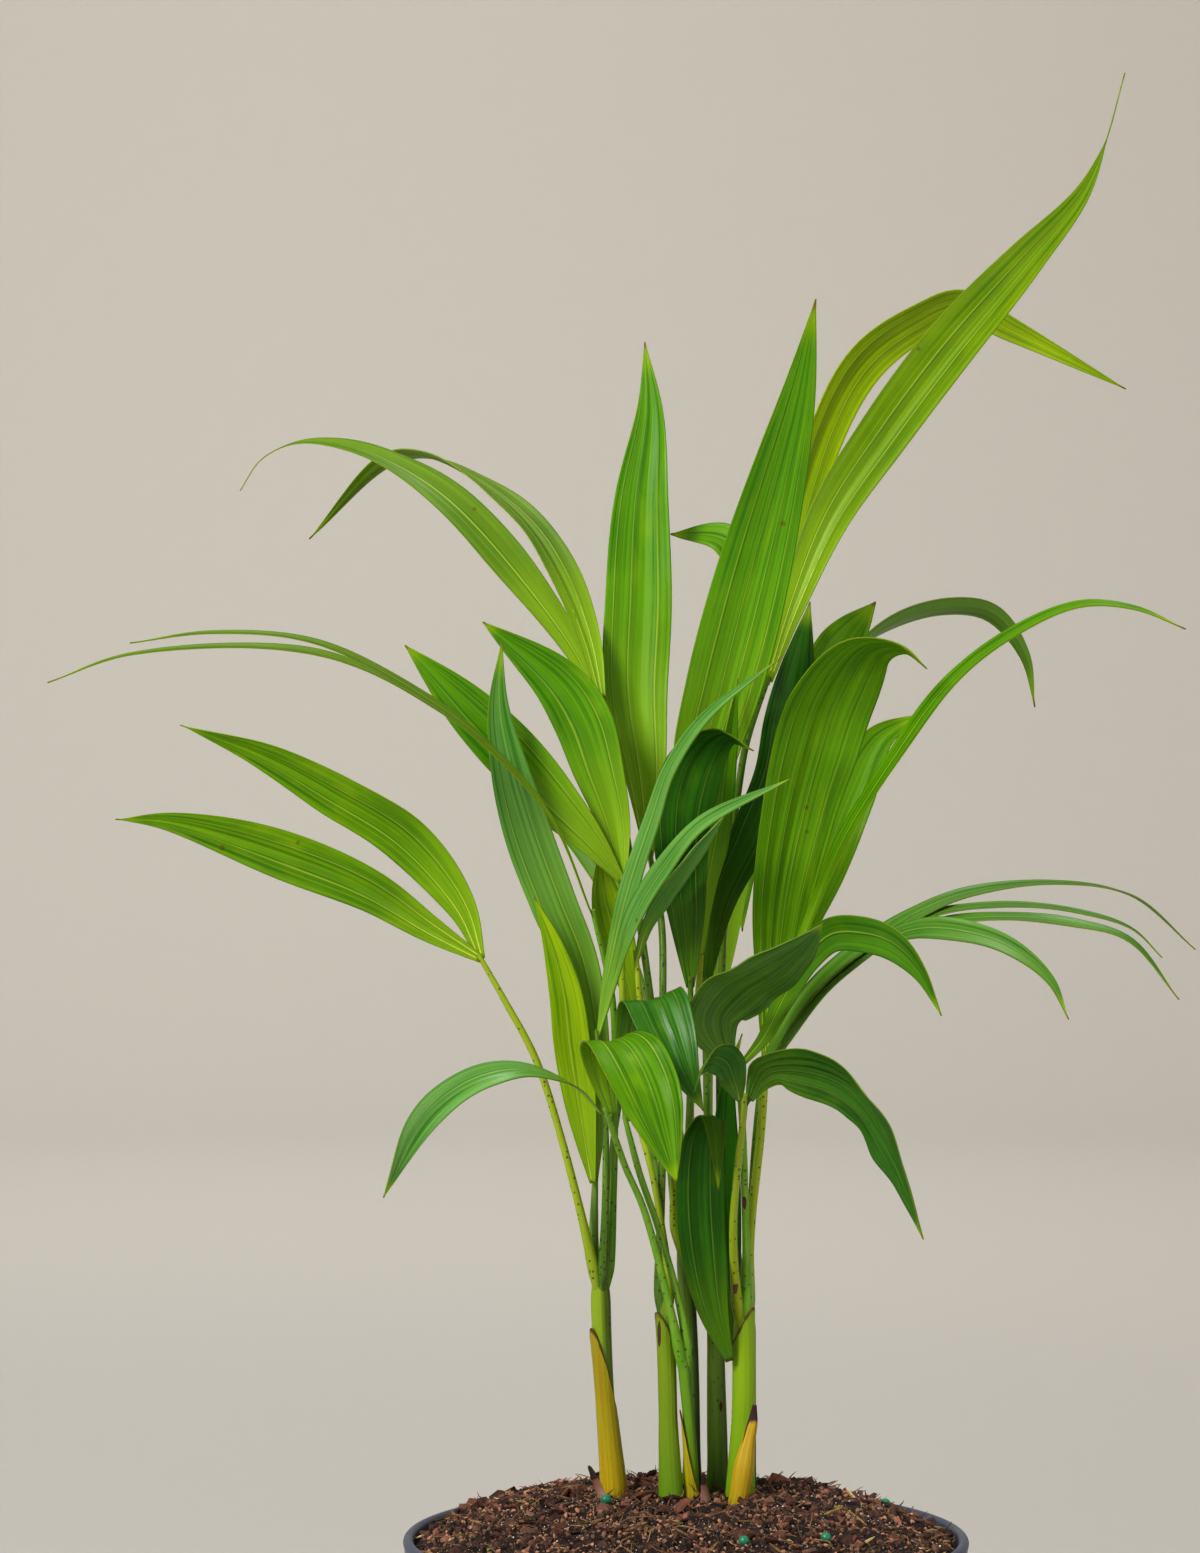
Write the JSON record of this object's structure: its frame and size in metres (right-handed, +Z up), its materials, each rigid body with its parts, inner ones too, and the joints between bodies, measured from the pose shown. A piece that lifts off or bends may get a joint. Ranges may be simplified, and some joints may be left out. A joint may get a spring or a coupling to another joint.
{
  "type": "potted palm",
  "caption": "Young areca palm in a round tapered nursery pot: slim upright stems, long stalks and arching two-lobed green leaves.",
  "frame": {"origin": "middle of the pot's flat underside, which stands on the floor", "axes": "+Z is up, +Y is away from the side that the picture shows, +X is to the right in it"},
  "size_m": [0.3371, 0.2356, 0.5965],
  "materials": {
    "leaf_bright": "satin",
    "leaf_mid": "satin",
    "leaf_deep": "satin",
    "stalk": "satin",
    "sheath": "satin",
    "dry_sheath": "matte",
    "pot_plastic": "satin",
    "soil": "matte"
  },
  "bodies": {
    "root": {"stem_1": "sheath", "stem_2": "sheath", "stem_3": "sheath", "stem_4": "sheath", "stem_5": "sheath", "stem_6": "sheath", "stem_7": "sheath", "cut_sheath": "dry_sheath", "stalk_1": "stalk", "stalk_2": "stalk", "stalk_3": "stalk", "stalk_4": "stalk", "stalk_6": "stalk", "stalk_10": "stalk", "stalk_12": "stalk", "stalk_15": "stalk", "stalk_16": "stalk", "stalk_18": "stalk", "stalk_19": "stalk", "stalk_20": "stalk", "stalk_21": "stalk", "stalk_22": "stalk", "leaf_1": "leaf_bright", "leaf_2": "leaf_mid", "leaf_3": "leaf_mid", "leaf_4": "leaf_mid", "leaf_5": "leaf_bright", "leaf_6_tall": "leaf_mid", "leaf_6_short": "leaf_bright", "leaf_7": "leaf_bright", "leaf_8": "leaf_mid", "leaf_10_long": "leaf_bright", "leaf_10_bent": "leaf_mid", "leaf_11": "leaf_mid", "leaf_12": "leaf_mid", "leaf_13": "leaf_deep", "leaf_14": "leaf_bright", "leaf_15_broad": "leaf_mid", "leaf_15_long": "leaf_bright", "leaf_16_upright": "leaf_mid", "leaf_16_arched": "leaf_mid", "leaf_17": "leaf_deep", "leaf_18_near": "leaf_deep", "leaf_18_far": "leaf_mid", "leaf_19": "leaf_mid", "leaf_20_right": "leaf_deep", "leaf_20_left": "leaf_mid", "leaf_21_front": "leaf_deep", "leaf_21_left": "leaf_mid", "leaf_22": "leaf_deep", "leaf_23": "leaf_deep", "leaf_24": "leaf_deep", "leaf_25": "leaf_mid", "leaf_26": "leaf_mid", "leaf_27": "leaf_bright", "leaf_28": "leaf_deep", "leaf_29": "leaf_deep", "pot": "pot_plastic", "soil": "soil"}
  },
  "joints": []
}
